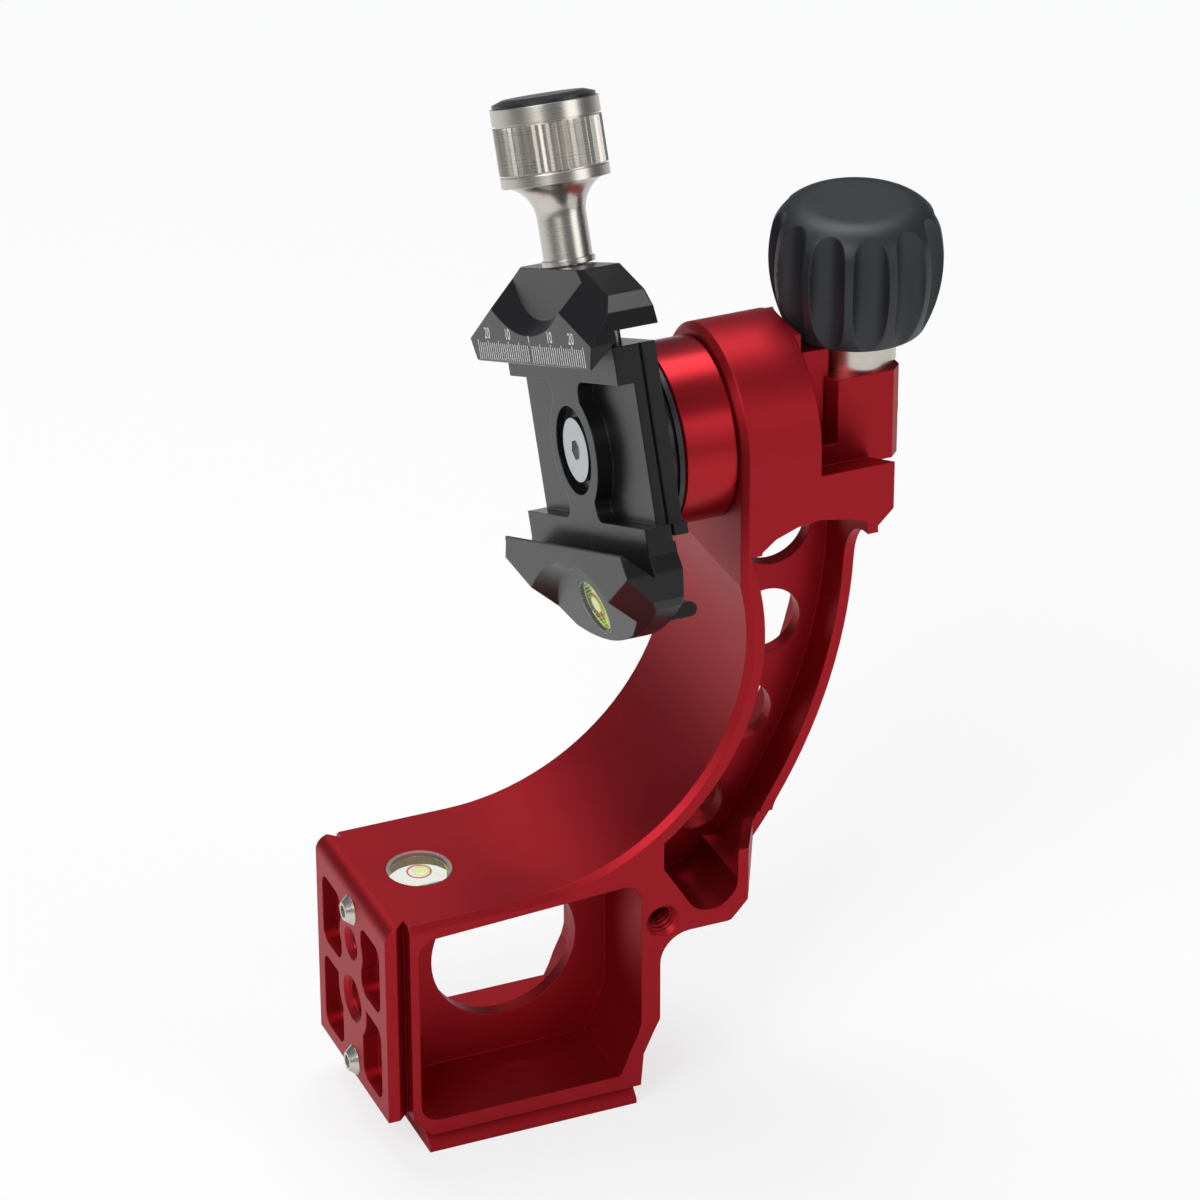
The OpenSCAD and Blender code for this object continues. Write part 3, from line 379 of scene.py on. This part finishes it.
def numeral(text, y, z, size):
    """A plain number of the scale, as flat raised figures on the jaw's face."""
    curve = bpy.data.curves.new("scale_" + text, "FONT")
    curve.body, curve.size, curve.align_x, curve.extrude = text, size, "CENTER", 0.012
    holder = bpy.data.objects.new("scale_figures", curve)
    bpy.context.scene.collection.objects.link(holder)
    bpy.context.view_layer.update()
    mesh = bpy.data.meshes.new_from_object(holder.evaluated_get(bpy.context.evaluated_depsgraph_get()))
    bpy.data.objects.remove(holder)
    flat = np.empty(len(mesh.vertices) * 3)
    mesh.vertices.foreach_get("co", flat)
    flat = flat.reshape(-1, 3)
    put = np.stack([JAW_FACE_X - 0.012 - flat[:, 2], y - flat[:, 0], z + flat[:, 1]], axis=-1)
    mesh.vertices.foreach_set("co", (in_clamp(put) * MM).ravel())
    mesh.materials.clear()
    mesh.update()
    side = "near" if y < 0 else "far"
    return piece(f"scale_{text}_{side}", mesh, "jaw", white_paint)


def scale_marks():
    low = MOUTH_Z + TICK_LOW
    rows = [(k * SCALE_STEP, low, low + (TICK_HIGH if k % 5 else FIFTH_TICK_HIGH), 0.13)
            for k in range(-25, 26)]
    rows.append((0, low, low + MIDDLE_TICK_HIGH, 0.15))
    bars("scale_ticks", rows, "jaw", white_paint)
    for k in (10, 20):
        for y in (-k, k):
            numeral(str(k), y * SCALE_STEP, MOUTH_Z + FIGURE_LOW, FIGURE_SIZE)


cut_threads()
dress_levels()
scale_marks()


# Camera
def set_camera():
    """A long lens, from the side and above, with the framing of the photograph."""
    azimuth, elevation, roll = 0.398288, 0.508550, -0.0022195
    target = np.array([9.5, 0.0, 90.0])
    offset = np.array([-11.788, 15.266, 1054.55])
    ca, sa, ce, se = math.cos(azimuth), math.sin(azimuth), math.cos(elevation), math.sin(elevation)
    ahead = np.array([sa * ce, ca * ce, -se])
    right = np.array([ca, -sa, 0.0])
    rows = np.stack([right, np.cross(ahead, right), ahead])
    cr, sr = math.cos(roll), math.sin(roll)
    rows = np.array([[cr, -sr, 0], [sr, cr, 0], [0, 0, 1]]) @ rows
    place = (target - rows.T @ offset) * MM
    data = bpy.data.cameras.new("camera")
    data.sensor_width, data.lens = 36.0, 36.0 * 5467.36 / 1200
    data.clip_start, data.clip_end = 0.05, 50.0
    camera = bpy.data.objects.new("camera", data)
    turn = np.eye(4)
    turn[:3, 0], turn[:3, 1], turn[:3, 2], turn[:3, 3] = rows[0], -rows[1], -rows[2], place
    camera.matrix_world = Matrix(turn.tolist())
    bpy.context.scene.collection.objects.link(camera)
    bpy.context.scene.camera = camera


# Studio
def soft_box(name, place, aim, size, power):
    data = bpy.data.lights.new(name, "AREA")
    data.shape, data.size, data.size_y, data.energy = "RECTANGLE", size[0], size[1], power
    lamp = bpy.data.objects.new(name, data)
    ahead = np.array(aim, float) - np.array(place, float)
    facing = Vector(ahead).to_track_quat("-Z", "Y").to_matrix().to_4x4()
    lamp.matrix_world = Matrix.Translation(place) @ facing
    bpy.context.scene.collection.objects.link(lamp)


def pale_floor():
    """A wide plain floor: pale, with the soft shadow of the head kept."""
    f = Finish("floor")
    seen = f.node("ShaderNodeLightPath", out="Is Camera Ray")
    matt = f.node("ShaderNodeBsdfDiffuse", {}, (0.86, 0.86, 0.86, 1.0))
    glow = f.node("ShaderNodeEmission", {}, (1.0, 1.0, 1.0, 1.0), 1.0)
    mixed = f.node("ShaderNodeMixShader", {}, seen * 0.72, matt, glow)
    f.node("ShaderNodeOutputMaterial", {}, mixed)
    mesh = bpy.data.meshes.new("floor")
    half = 6.0
    corners = [(-half, -half, 0), (half, -half, 0), (half, half, 0), (-half, half, 0)]
    mesh.from_pydata(corners, [], [(0, 1, 2, 3)])
    mesh.materials.append(f.material)
    floor = bpy.data.objects.new("floor", mesh)
    bpy.context.scene.collection.objects.link(floor)


def soft_world():
    world = bpy.data.worlds.new("studio")
    world.use_nodes = True
    nodes, links = world.node_tree.nodes, world.node_tree.links
    nodes.clear()
    path = nodes.new("ShaderNodeLightPath")
    either = nodes.new("ShaderNodeMath")
    either.operation = "MAXIMUM"
    links.new(path.outputs["Is Camera Ray"], either.inputs[0])
    links.new(path.outputs["Is Transmission Ray"], either.inputs[1])
    fill, white = nodes.new("ShaderNodeBackground"), nodes.new("ShaderNodeBackground")
    mixed = nodes.new("ShaderNodeMixShader")
    fill.inputs[0].default_value, fill.inputs[1].default_value = (0.92, 0.95, 1.0, 1.0), 0.30
    white.inputs[0].default_value, white.inputs[1].default_value = (1.0, 1.0, 1.0, 1.0), 1.0
    where, split = nodes.new("ShaderNodeTexCoord"), nodes.new("ShaderNodeSeparateXYZ")
    ramp = nodes.new("ShaderNodeValToRGB")
    links.new(where.outputs["Generated"], split.inputs[0])
    links.new(split.outputs["Z"], ramp.inputs[0])
    for element, (at, grey) in zip(ramp.color_ramp.elements, ((0.05, 0.30), (0.75, 1.0))):
        element.position, element.color = at, (0.92 * grey, 0.95 * grey, grey, 1.0)
    links.new(ramp.outputs[0], fill.inputs[0])
    links.new(either.outputs[0], mixed.inputs[0])
    links.new(fill.outputs[0], mixed.inputs[1])
    links.new(white.outputs[0], mixed.inputs[2])
    out = nodes.new("ShaderNodeOutputWorld")
    links.new(mixed.outputs[0], out.inputs[0])
    bpy.context.scene.world = world


set_camera()
pale_floor()
soft_world()
soft_box("key", (-0.9, -0.7, 1.1), (0.0, 0.0, 0.09), (0.9, 0.9), 14.0)
soft_box("fill", (0.9, -1.1, 0.6), (0.02, 0.0, 0.09), (0.8, 1.0), 4.5)
soft_box("top", (0.1, 0.5, 1.4), (0.02, 0.0, 0.1), (1.0, 0.8), 12.0)
bpy.context.scene.view_settings.view_transform = "Standard"
